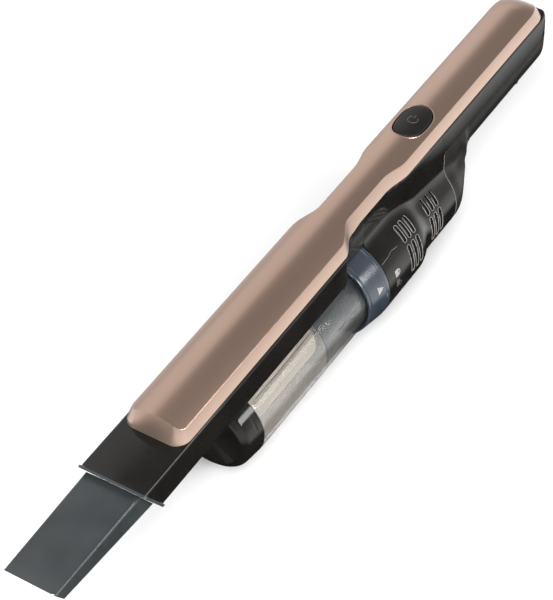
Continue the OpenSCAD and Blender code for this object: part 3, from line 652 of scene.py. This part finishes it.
base = [(SLEEVE_X1 + 0.1, SLEEVE_R - 2.6), (SLEEVE_X1 + 0.1, SLEEVE_R + 5.6),
        (SLEEVE_X1 + 2.4, SLEEVE_R + 7), (193, SLEEVE_R + 7),
        (194.2, SLEEVE_R + 2.4), (238.5, SLEEVE_R + 2), (240, BIN_REAR_R - 2.0), (243.8, BIN_REAR_R - 1.9),
        (243.8, SLEEVE_R + 0.4), (192.9, SLEEVE_R + 0.4), (192.9, SLEEVE_R - 2.6)]
holder = turned("filter_holder", fillet(base, [0.3, 1.5, 1.0, 0.8, 1.5, 1.5, 0.8, 0.4, 0.3, 0.3, 0.3], 4),
                120)
disc = turned("front_disc", fillet([(SLEEVE_X0 - 2.2, 0.02), (SLEEVE_X0 - 2.2, SLEEVE_R + 0.6),
                                    (SLEEVE_X0 - 0.1, SLEEVE_R + 0.6), (SLEEVE_X0 - 0.1, 0.02)],
                                   [0, 0.7, 0.3, 0], 4), 120)
ribs = []
for k in range(4):
    a = math.radians(k * 90 + 45)
    r = SLEEVE_R - 1.8
    ribs.append(tube("rib",
                     [(x, -r * math.sin(a), r * math.cos(a)) for x in np.linspace(SLEEVE_X0 - 1,
                             SLEEVE_X1 + 2, 6)], 0.7))
join(holder, [disc] + ribs)
done(holder, "bin", "frame_blue", PALETTE["frame_blue"], "filter_frame", sharp=38)
# the welded seam along the sleeve
a = math.radians(52)
seam_path = [(x, -(SLEEVE_R + 0.05) * math.sin(a),
              (SLEEVE_R + 0.05) * math.cos(a)) for x in np.linspace(SLEEVE_X0, SLEEVE_X1, 12)]
done(tube("sleeve_seam", seam_path, 0.45, 8), "bin", "frame_blue", PALETTE["frame_blue"])

# ---- lock ring ------------------------------------------------------------------------------
shape = [(RING_X, BIN_REAR_R + 0.3), (RING_X, BIN_REAR_R + 1.7), (RING_X + 1.3, BIN_REAR_R + 1.9),
         (RING_X + 1.6, BIN_REAR_R + 1.4),
         (RING_X + 2.3, BIN_REAR_R + 1.45), (RING_X + 2.6, BIN_REAR_R + 2.1), (MOTOR_X - 4.2, 32.7),
         (MOTOR_X - 3.9, 32.35),
         (MOTOR_X - 3.4, 32.4), (MOTOR_X - 3.1, 32.85), (MOTOR_X - 0.3, 32.9), (MOTOR_X - 0.3, 30.3),
         (243.9, 30.3),
         (243.9, BIN_REAR_R + 0.3)]
ring = turned("lock_ring_body",
              fillet(shape, [0.2, 0.35, 0.25, 0.1, 0.1, 0.25, 0.25, 0.1, 0.1, 0.25, 0.35, 0.2, 0.1, 0.1],
                     3), 180)
done(ring, "ring", "ring_blue", PALETTE["ring_blue"], "lock_ring", sharp=60)


# ---- marks laid on turned surfaces ----------------------------------------------------------
def decal(name, outlines, x, angle, radius, lift=0.07, thick=0.3):
    """Flat outlines of (along, round) in mm, wrapped on a turned surface; radius is a function of x."""
    objects = []
    for o in outlines:
        bm = bmesh.new()
        bm.faces.new([bm.verts.new((p[0], p[1], 0)) for p in o])
        lo, hi = min(p[1] for p in o), max(p[1] for p in o)
        for cut in np.arange(lo + 0.5, hi, 0.5):
            bmesh.ops.bisect_plane(bm, geom=bm.verts[:] + bm.edges[:] + bm.faces[:], plane_co=(0, cut, 0),
                                   plane_no=(0, 1, 0))
        for w in bm.verts:
            px = x + w.co.x
            r = radius(px) + lift
            a = math.radians(angle) + w.co.y / r
            w.co = Vector(world(np.array([px, -r * math.sin(a), r * math.cos(a)])))
        bmesh.ops.recalc_face_normals(bm, faces=bm.faces)
        mid = sum((f.calc_center_median() for f in bm.faces), Vector()) / len(bm.faces)
        out = Vector((0, mid.y, mid.z - ORIGIN_Z))
        if sum((f.normal for f in bm.faces), Vector()).dot(out) < 0:
            bmesh.ops.reverse_faces(bm, faces=bm.faces)
        mesh = bpy.data.meshes.new(name)
        bm.to_mesh(mesh)
        bm.free()
        ob = bpy.data.objects.new(name, mesh)
        bpy.context.scene.collection.objects.link(ob)
        solid = ob.modifiers.new("thick", "SOLIDIFY")
        solid.thickness, solid.offset = thick * MM, -1
        objects.append(settle(ob))
    ob = join(objects[0], objects[1:])
    ob.name = name
    return ob


def band(cx, cy, r0, r1, a0, a1, n=16):
    t = np.radians(np.linspace(a0, a1, n))
    return [(cx + r1 * math.cos(v), cy + r1 * math.sin(v)) for v in t] + \
        [(cx + r0 * math.cos(v), cy + r0 * math.sin(v)) for v in t[::-1]]


def ring_radius(x):
    return BIN_REAR_R + 2.1 + (32.7 - BIN_REAR_R - 2.1) * (x - RING_X - 2.6) / (MOTOR_X - 4.2 - RING_X - 2.6)


def housing_radius(x):
    return HOUSING_R - (HOUSING_R - REAR_R) * float(smooth((x - 290) / 16))


done(decal("ring_arrow", [[(-2.3, -2.7), (-2.3, 2.7), (2.8, 0)]], 239, 71, ring_radius), "ring",
     "ring_blue", INK)
lock_body = [tuple(p) for p in fillet([(-3.0, -2.4), (0.4, -2.4), (0.4, 2.4), (-3.0, 2.4)], 0.6, 3)]
done(decal("lock_mark", [lock_body, band(0.4, 0, 1.3, 2.0, -90, 90)], 258.6, 72.7, housing_radius),
     "housing", "gloss_black", INK)
done(decal("unlock_mark", [lock_body, band(1.0, 2.0, 1.3, 2.0, -90, 90)], 258.3, 85, housing_radius),
     "housing", "gloss_black",
     DIM_INK)

# ---- black body behind the ring -------------------------------------------------------------
def smin(a, b, k):
    h = np.clip(0.5 + 0.5 * (b - a) / k, 0, 1)
    return b + (a - b) * h - k * h * (1 - h)


def smax(a, b, k):
    return -smin(-a, -b, k)


DOME_X, DOME_A, COVE = 344.0, 20.0, 12.0


def dome_touch():
    """Where the cove under the handle meets the motor cover: angle on the dome and the cove's centre."""
    lo, hi = 0.0, math.pi / 2
    for _ in range(60):
        mid = (lo + hi) / 2
        p = np.array([DOME_X + DOME_A * math.sin(mid), -REAR_R * math.cos(mid)])
        n = np.array([math.sin(mid) / DOME_A, -math.cos(mid) / REAR_R])
        centre = p + COVE * n / np.linalg.norm(n)
        if centre[1] < HANDLE_CZ - HANDLE_R - COVE:
            lo = mid
        else:
            hi = mid
    return p, centre


touch, cove = dome_touch()


def lower_circle(x):
    """Radius and centre height of the round lower part of the body at x."""
    bottom = np.where(x < DOME_X, -REAR_R - (HOUSING_R - REAR_R) * (1 - smooth((x - 290) / 16)),
             np.where(x < touch[0], -REAR_R * np.sqrt(np.clip(1 - ((x - DOME_X) / DOME_A) ** 2, 0, 1)),
             np.where(x < cove[0], cove[1] + np.sqrt(np.clip(COVE ** 2 - (x - cove[0]) ** 2, 0, None)),
                      HANDLE_CZ - HANDLE_R)))
    r = np.where(x < DOME_X, -bottom,
                 HANDLE_R + (REAR_R - HANDLE_R) * (1 - smooth((x - DOME_X) / (cove[0] - DOME_X))))
    return r, bottom + r


def quarter(x, r):
    """Falls from 1 to 0 along a quarter circle of radius r that ends at the handle's end."""
    return np.sqrt(np.clip(1 - (np.clip(x - (SHELL_END - r), 0, r) / r) ** 2, 0, 1))


def body_field(x, y, z):
    r, cz = lower_circle(x)
    low = np.hypot(y, z - cz) - r
    w = np.where(x < SEAM_X, neck_w(x), 18.4 + 0.5 * smooth((x - SEAM_X) / 12))
    ay = np.abs(y)
    neck = smax(ay - w, z - LEDGE_Z, 1.2)
    neck = smax(neck, ((ay - 18.9) * 12 + (z - 43) * 2.9) / 12.35, 3.0)
    neck = smax(neck, np.clip(cz, 14, HANDLE_CZ) - z, 1.0)
    field = smin(low, neck, 6.0 - 5.4 * smooth((x - 330) / 40))
    plan, under = quarter(x, TAIL_R), quarter(x, TAIL_LOW)
    soft = 0.05 + 3.5 * smooth((x - SHELL_END + TAIL_LOW) / 10)
    end = smax(field, ay - (HANDLE_R - TAIL_R + TAIL_R * plan), soft)
    end = smax(end, HANDLE_CZ - HANDLE_R + TAIL_LOW * (1 - under) - z, soft)
    end = smax(end, z - (END_Z + (SHELL_END - x) * END_SLOPE), 1.0)
    return np.where(x > SHELL_END - TAIL_LOW, end, field)


def body_rows(xs, inset=0.0, count=240):
    x = np.asarray(xs, float)[:, None]
    a = np.linspace(0, 2 * math.pi, count, endpoint=False)[None, :]
    zs = 20 + 18 * smooth((x - 345) / 40)
    lo, hi = np.zeros((len(xs), count)), np.full((len(xs), count), 70.0)
    for _ in range(36):
        mid = (lo + hi) / 2
        outside = body_field(x, mid * np.sin(a), zs + mid * np.cos(a)) + inset > 0
        hi, lo = np.where(outside, mid, hi), np.where(outside, lo, mid)
    r = (lo + hi) / 2
    return np.stack([np.broadcast_to(x, r.shape), r * np.sin(a), zs + r * np.cos(a)], 2)


def shell(name, xs, inner_xs, front_cap, rear_cap):
    """A hollow piece of the body: its outer skin and an inner skin set in by the wall."""
    outer, inner = body_rows(xs), body_rows(inner_xs, WALL)
    n, m = outer.shape[:2]
    k = inner.shape[0]
    verts = np.concatenate([outer.reshape(-1, 3), inner.reshape(-1, 3)])
    o, q = np.arange(n * m).reshape(n, m), n * m + np.arange(k * m).reshape(k, m)
    faces = []
    for g, flip in ((o, False), (q, True)):
        for i in range(len(g) - 1):
            for j in range(m):
                l = (j + 1) % m
                f = (g[i][j], g[i][l], g[i + 1][l], g[i + 1][j])
                faces.append(f[::-1] if flip else f)
    for cap, a, b in ((front_cap, o[0], q[0]), (rear_cap, o[-1], q[-1])):
        if cap:
            faces += [tuple(a), tuple(b)]
        else:
            faces += [(a[j], a[(j + 1) % m], b[(j + 1) % m], b[j]) for j in range(m)]
    return make(name, verts, faces)


VENTS = [(274.5, HOUSING_R, (33, 55), (59, 94)), (308.0, REAR_R, (36, 60), (64, 98))]
VENT_W, VENT_PITCH = 3.0, 5.4


def vent_outline(x, r, a0, a1, grow=0.0, n=7):
    """Edge of a slot as (x, angle in degrees), with rounded ends."""
    half = VENT_W / 2 + grow
    s0, s1 = math.radians(a0) * r - grow, math.radians(a1) * r + grow
    out = []
    for t in np.linspace(0, math.pi, n):
        out.append((x + VENT_W / 2 + half * math.cos(t), s1 - half + half * math.sin(t)))
    for t in np.linspace(math.pi, 2 * math.pi, n):
        out.append((x + VENT_W / 2 + half * math.cos(t), s0 + half + half * math.sin(t)))
    return [(p, s / r) for p, s in out]


def vent_cutter(x, r, a0, a1):
    half = VENT_W / 2
    s0, s1 = math.radians(a0) * r, math.radians(a1) * r
    stations = sorted(set([s0 + half * (1 - math.cos(t)) for t in np.linspace(0, math.pi / 2, 6)] +
                          list(np.linspace(s0 + half + 0.8, s1 - half - 0.8, 12)) +
                          [s1 - half * (1 - math.cos(t)) for t in np.linspace(0, math.pi / 2, 6)]))
    rows = []
    for s in stations:
        gap = max(half - min(s - s0, s1 - s), 0)
        w = max(math.sqrt(max(half * half - gap * gap, 0)), 0.12)
        a = s / r
        rows.append([(x + half + dx, -q * math.sin(a), q * math.cos(a))
                     for dx, q in ((-w, r - 5), (w, r - 5), (w, r + 1.5), (-w, r + 1.5))])
    return loft("slot", rows)


slots = []
highlight_rims = []
for x0, r, upper, lower in VENTS:
    for k in range(3):
        for a0, a1 in (upper, lower, (-upper[1], -upper[0]), (-lower[1], -lower[0])):
            x = x0 + k * VENT_PITCH
            slots.append(vent_cutter(x, r, a0, a1))
            # a thin raised rim round each slot, coloured light grey: a painted highlight along the slot's
            # edge
            dense = []
            pts = vent_outline(x, r, a0, a1, 0.12)
            for p, q in zip(pts, pts[1:] + pts[:1]):
                steps_here = max(1, int(abs(q[1] - p[1]) * r / 1.2))
                dense += [(p[0] + (q[0] - p[0]) * t / steps_here,
                           p[1] + (q[1] - p[1]) * t / steps_here) for t in range(steps_here)]
            highlight_rims.append(tube("rim", [(p, -r * math.sin(s), r * math.cos(s)) for p, s in dense], 0.23, 6,
                             closed=True))
front = np.concatenate([[MOTOR_X, MOTOR_X + 0.15, MOTOR_X + 0.5], np.arange(249, 288, 3.0),
                        np.arange(288, 308, 1.25), np.arange(309, 339, 3.0),
                        [339.5, SEAM_X - 0.1]])
housing = shell("motor_housing_shell", front, np.concatenate([[MOTOR_X + 1.8], front[front > 250]]), True,
                False)
cutters = join(slots[0], slots[1:])
combine(housing, [cutters, turned("front_hole", [(240, 0.02), (240, 17), (252, 17), (252, 0.02)], 96)],
        tolerant=True)
# the part of the neck that bridges over the ring
rows = []
for x in np.concatenate([[DUCT_END + 0.2], np.arange(213, 247, 1.5), [247.3]]):
    w, top = float(neck_w(x)), float(edge_z(x)) - 0.15
    r = HOUSING_R + 0.3
    a = np.linspace(math.asin(w / r), -math.asin(w / r), 15)
    low = [(r * math.sin(v), r * math.cos(v)) for v in a]
    o = fillet(low + [(-w, top), (w, top)], [0] * 15 + [0.5, 0.5], 3)
    rows.append(np.column_stack([np.full(len(o), x), o]))
join(housing, [loft("bridge", rows)])
done(housing, "housing", "gloss_black", PALETTE["gloss_black"], "motor_housing", sharp=40)
# the slot rims as one piece in light grey: painted highlights on the slot edges
done(join(highlight_rims[0], highlight_rims[1:]), "housing", "gloss_black", EDGE_HIGHLIGHT_PAINT).name = "vent_rim_highlights"

tail = SHELL_END - TAIL_LOW + TAIL_LOW * np.sin(np.radians(np.linspace(0, 90, 24)))
xs = np.concatenate([[SEAM_X + 0.2, SEAM_X + 0.6], np.arange(342, 400, 1.6), np.arange(400, 472, 4.0), tail])
inner_xs = xs[xs < SHELL_END - WALL - 0.4]
whole = shell("rear_shell_body", xs, np.append(inner_xs, SHELL_END - WALL), False, True)
upper_half = bpy.data.objects.new("handle_upper_body", whole.data.copy())
bpy.context.scene.collection.objects.link(upper_half)


def half_space(z0, z1):
    return prism("half", [(300, -60), (520, -60), (520, 60), (300, 60)], z0, z1)


combine(whole, [half_space(PART_Z - 0.1, 90), along("jack_hole", circle(0, 34, 4.5), 465, 495)])
screw_holes, bosses = [], []
for s in (-1, 1):
    plan = [(452 + 2.7 * math.cos(t), s * 11.4 + 2.7 * math.sin(t)) for t in np.linspace(0, 2 * math.pi, 32,
            endpoint=False)]
    wide = [(452 + 3.4 * math.cos(t), s * 11.4 + 3.4 * math.sin(t)) for t in np.linspace(0, 2 * math.pi, 32,
            endpoint=False)]
    screw_holes.append(prism("screw_hole", plan, 0, 20.1))
    boss = prism("boss", wide, 17.8, 38)
    combine(boss,
            [prism("bore", plan, 10, 20.1),
             prism("core", [(452 + (p[0] - 452) * 0.5, s * 11.4 + (p[1] - s * 11.4) * 0.5) for p in plan],
                   10, 60)])
    bosses.append(boss)
combine(whole, screw_holes)
join(whole, bosses)
rounded(whole, 0.3, 2, 50)
done(whole, "housing", "matte_black", PALETTE["matte_black"], "rear_shell", sharp=40)
combine(upper_half, [half_space(-40, PART_Z + 0.1), along("light_hole", circle(0, 46, 1.35, 24), 480, 495)])
rounded(upper_half, 0.3, 2, 50)
done(upper_half, "housing", "gloss_black", PALETTE["gloss_black"], "handle_upper", sharp=40)

# thin raised lines in light grey: the seam behind the vents and the panel line that leads from the ring to
# the vents are real moulded lines, and their light colour is a painted highlight on their edges
section = body_rows([SEAM_X + 0.05], -0.02, 240)[0]
section = section[(section[:, 2] < PART_Z - 0.5)]
start = int(np.argmax(np.abs(np.diff(np.arctan2(section[:, 1], section[:, 2] - 20))) > 1)) + 1
done(tube("seam_highlight_line", section if start <= 1 else np.roll(section, -start, 0), 0.16, 6), "housing",
     "gloss_black", EDGE_HIGHLIGHT_PAINT)
for side in (1, -1):
    bends = [(248.2, 50.5), (256.3, 50), (260.6, 48), (267.4, 50)]
    px = np.interp(np.linspace(0, 3, 28), range(4), [b[0] for b in bends])
    pa = np.radians(np.interp(np.linspace(0, 3, 28), range(4), [b[1] for b in bends])) * side
    done(tube("panel_highlight_line_" + ("near" if side == 1 else "far"),
              np.column_stack([px, -33.0 * np.sin(pa), 33.0 * np.cos(pa)]), 0.14, 6),
         "housing", "gloss_black", EDGE_HIGHLIGHT_PAINT)

# ---- stage, lights and camera ---------------------------------------------------------------
def plane(name, points, material):
    mesh = bpy.data.meshes.new(name)
    mesh.from_pydata(points, [], [(0, 1, 2, 3)])
    ob = bpy.data.objects.new(name, mesh)
    bpy.context.scene.collection.objects.link(ob)
    mesh.materials.append(material)
    return ob


floor_finish = finish("floor_paper", (0.86, 0.86, 0.86), (0.89, 0.89, 0.89), 3, (0.8, 0.9), 0.05, 400)
floor = plane("floor", [(-8, -8, 0), (8, -8, 0), (8, 8, 0), (-8, 8, 0)], floor_finish)
floor.visible_glossy = False


def area(name, place, aim, size, power, colour=(1, 1, 1)):
    data = bpy.data.lights.new(name, "AREA")
    data.shape = "RECTANGLE"
    data.size, data.size_y = size
    data.energy = power
    data.color = colour
    ob = bpy.data.objects.new(name, data)
    bpy.context.scene.collection.objects.link(ob)
    ob.location = place
    ob.rotation_euler = (Vector(aim) - Vector(place)).to_track_quat("-Z", "Y").to_euler()
    return ob


area("far_panel", (0.5, 0.872, 0.6), (0.5, 0.872, 0.0), (2.6, 1.2), 10.5).visible_camera = False
area("key", (-1.3, -0.5, 1.7), (0, 0, 0), (1.4, 1.4), 50).visible_camera = False

area("bin_light", (0.0, -0.55, 0.32), (-0.05, 0, 0.03), (0.5, 0.15), 3.6).visible_camera = False

# the room: a soft band of light near the horizon, dimmer overhead and dark below
ROOM = [(0.0, 0.01), (0.21, 0.01), (0.29, 1.0), (0.42, 1.0), (0.50, 0.60), (0.56, 0.52), (0.68, 0.19),
        (1.0, 0.16)]
sky = bpy.data.worlds.new("studio")
sky.use_nodes = True
nodes, links = sky.node_tree.nodes, sky.node_tree.links
coord = nodes.new("ShaderNodeTexCoord")
split = nodes.new("ShaderNodeSeparateXYZ")
span = nodes.new("ShaderNodeMapRange")
ramp = nodes.new("ShaderNodeValToRGB")
span.inputs["From Min"].default_value = -1
for place, level in ROOM[1:-1]:
    ramp.color_ramp.elements.new(place)
for stop, (place, level) in zip(ramp.color_ramp.elements, ROOM):
    stop.position, stop.color = place, (level, level, level, 1)
links.new(coord.outputs["Generated"], split.inputs[0])
links.new(split.outputs["Z"], span.inputs["Value"])
links.new(span.outputs[0], ramp.inputs[0])
links.new(ramp.outputs[0], nodes["Background"].inputs[0])
nodes["Background"].inputs[1].default_value = 1.7
bpy.context.scene.world = sky

yaw, pitch, roll = 0.54507, -0.78015, 0.00358
fwd = Vector((math.cos(pitch) * math.cos(yaw), math.cos(pitch) * math.sin(yaw), math.sin(pitch)))
right = Vector((math.sin(yaw), -math.cos(yaw), 0))
up = right.cross(fwd)
side = math.cos(roll) * right + math.sin(roll) * up
top = -math.sin(roll) * right + math.cos(roll) * up
camera_data = bpy.data.cameras.new("camera")
camera_data.lens = 127.99
camera_data.sensor_width = 36
camera_data.clip_end = 50
camera = bpy.data.objects.new("camera", camera_data)
bpy.context.scene.collection.objects.link(camera)
camera.matrix_world = Matrix.Translation((-0.79262, -0.45625, 0.95054)) @ Matrix(
    ((side.x, top.x, -fwd.x), (side.y, top.y, -fwd.y), (side.z, top.z, -fwd.z))).to_4x4()
bpy.context.scene.camera = camera
bpy.context.scene.view_settings.view_transform = "Standard"
